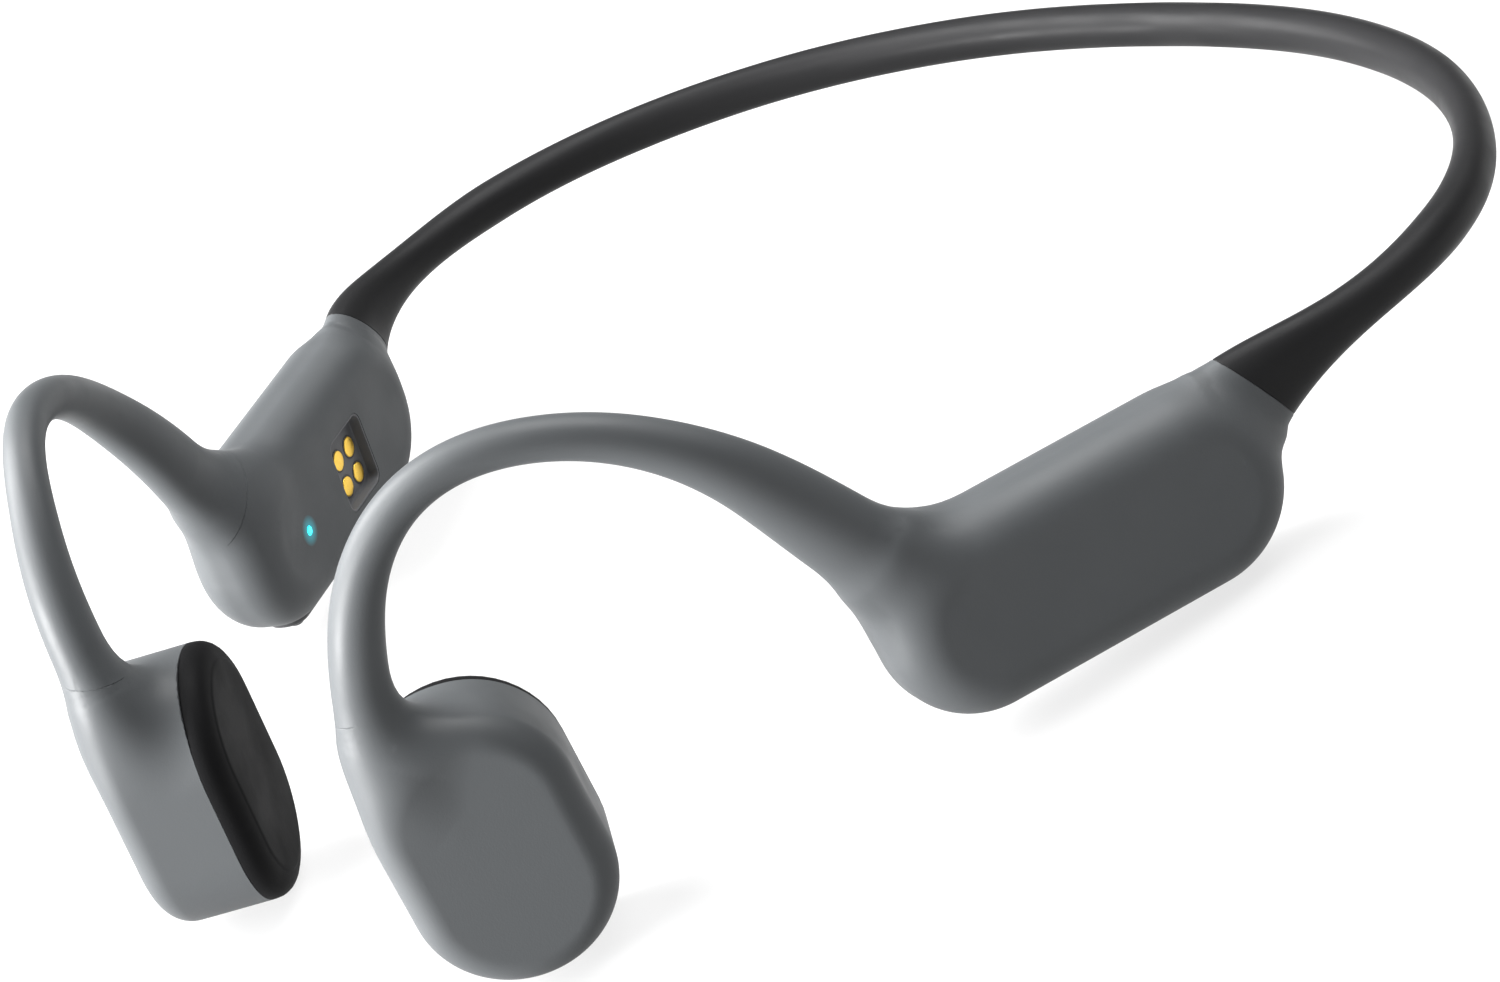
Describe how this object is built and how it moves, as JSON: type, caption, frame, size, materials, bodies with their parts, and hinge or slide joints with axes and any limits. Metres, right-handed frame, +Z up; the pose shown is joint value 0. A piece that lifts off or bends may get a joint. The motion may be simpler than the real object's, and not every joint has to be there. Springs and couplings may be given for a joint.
{
  "type": "bone conduction headphones",
  "caption": "Open-ear bone conduction headphones: neckband with a pod and an over-ear hook on each side, each ending in a padded transducer.",
  "frame": {"origin": "centre of the footprint, on the surface that the headphones stand on", "axes": "+Z up as worn and as standing; +Y from the face to the neck, so the neckband is at +Y; +X to the wearer's left; X = 0 is the plane of symmetry"},
  "size_m": [0.1326, 0.1447, 0.0499],
  "materials": {
    "grey_silicone": "soft-touch, matt grey",
    "black_silicone": "satin black",
    "pad_silicone": "matt black",
    "key_rubber": "satin black",
    "dark_plastic": "fine moulded dark grey",
    "inner_plastic": "moulded",
    "gold_contact": "gold-plated, polished",
    "titanium": "drawn wire",
    "cable_jacket": "smooth",
    "soft_iron": "turned",
    "magnet_nickel": "nickel-plated",
    "coil_copper": "enamelled winding",
    "spring_steel": "rolled",
    "battery_foil": "matt foil",
    "board_green": "solder mask",
    "chip_black": "moulded",
    "sensor_metal": "stamped",
    "light_pipe": "clear, lit cyan"
  },
  "bodies": {
    "neckband": {"neckband_sleeve": "black_silicone", "neckband_wire": "titanium", "neckband_harness": "cable_jacket"},
    "left_arm": {"pod_shell_left": "grey_silicone", "pod_cover_left": "grey_silicone", "hook_sleeve_left": "grey_silicone", "hook_wire_left": "titanium", "hook_cable_left": "cable_jacket", "band_anchor_left": "inner_plastic", "hook_anchor_left": "inner_plastic", "battery": "battery_foil", "battery_board": "board_green"},
    "right_arm": {"pod_shell_right": "grey_silicone", "pod_cover_right": "grey_silicone", "hook_sleeve_right": "grey_silicone", "hook_wire_right": "titanium", "hook_cable_right": "cable_jacket", "band_anchor_right": "inner_plastic", "hook_anchor_right": "inner_plastic", "main_board": "board_green", "board_chips": "chip_black", "antenna": "chip_black", "microphone": "sensor_metal", "charge_contact_block": "dark_plastic", "charge_pins": "gold_contact", "charge_magnets": "magnet_nickel", "status_led": "sensor_metal", "status_light_pipe": "light_pipe", "button_bezel": "key_rubber", "volume_switches": "dark_plastic"},
    "left_transducer": {"transducer_shell_left": "grey_silicone", "transducer_pad_left": "pad_silicone", "transducer_yoke_left": "soft_iron", "transducer_magnet_left": "magnet_nickel", "transducer_pole_left": "soft_iron", "transducer_coil_left": "coil_copper", "transducer_spring_left": "spring_steel"},
    "right_transducer": {"transducer_shell_right": "grey_silicone", "transducer_pad_right": "pad_silicone", "transducer_yoke_right": "soft_iron", "transducer_magnet_right": "magnet_nickel", "transducer_pole_right": "soft_iron", "transducer_coil_right": "coil_copper", "transducer_spring_right": "spring_steel"},
    "volume_up_key": {"volume_up_button": "key_rubber"},
    "volume_down_key": {"volume_down_button": "key_rubber"}
  },
  "joints": [
    {"name": "left_arm_flex", "type": "hinge", "parent": "neckband", "child": "left_arm", "pos_m": [0.025, 0.06, 0.009], "axis": [0, 0, 1], "range_deg": [-3, 24], "stiffness_Nm_per_rad": 0.3, "deforming": ["neckband_harness", "neckband_sleeve", "neckband_wire"]},
    {"name": "right_arm_flex", "type": "hinge", "parent": "neckband", "child": "right_arm", "pos_m": [-0.025, 0.06, 0.009], "axis": [0, 0, -1], "range_deg": [-3, 24], "stiffness_Nm_per_rad": 0.3, "deforming": ["neckband_harness", "neckband_sleeve", "neckband_wire"]},
    {"name": "left_hook_flex", "type": "hinge", "parent": "left_arm", "child": "left_transducer", "pos_m": [0.031, -0.0525, 0.048], "axis": [-0.6392, -0.769, 0], "range_deg": [-5, 8], "stiffness_Nm_per_rad": 0.4, "deforming": ["hook_sleeve_left", "hook_wire_left", "hook_cable_left"]},
    {"name": "right_hook_flex", "type": "hinge", "parent": "right_arm", "child": "right_transducer", "pos_m": [-0.031, -0.0525, 0.048], "axis": [-0.6392, 0.769, 0], "range_deg": [-5, 8], "stiffness_Nm_per_rad": 0.4, "deforming": ["hook_sleeve_right", "hook_wire_right", "hook_cable_right"]},
    {"name": "volume_up_press", "type": "slide", "parent": "right_arm", "child": "volume_up_key", "axis": [0.0411, 0.1214, 0.9918], "range_m": [0, 0.0004], "stiffness_N_per_m": 2500},
    {"name": "volume_down_press", "type": "slide", "parent": "right_arm", "child": "volume_down_key", "axis": [0.0411, 0.1214, 0.9918], "range_m": [0, 0.0004], "stiffness_N_per_m": 2500}
  ]
}
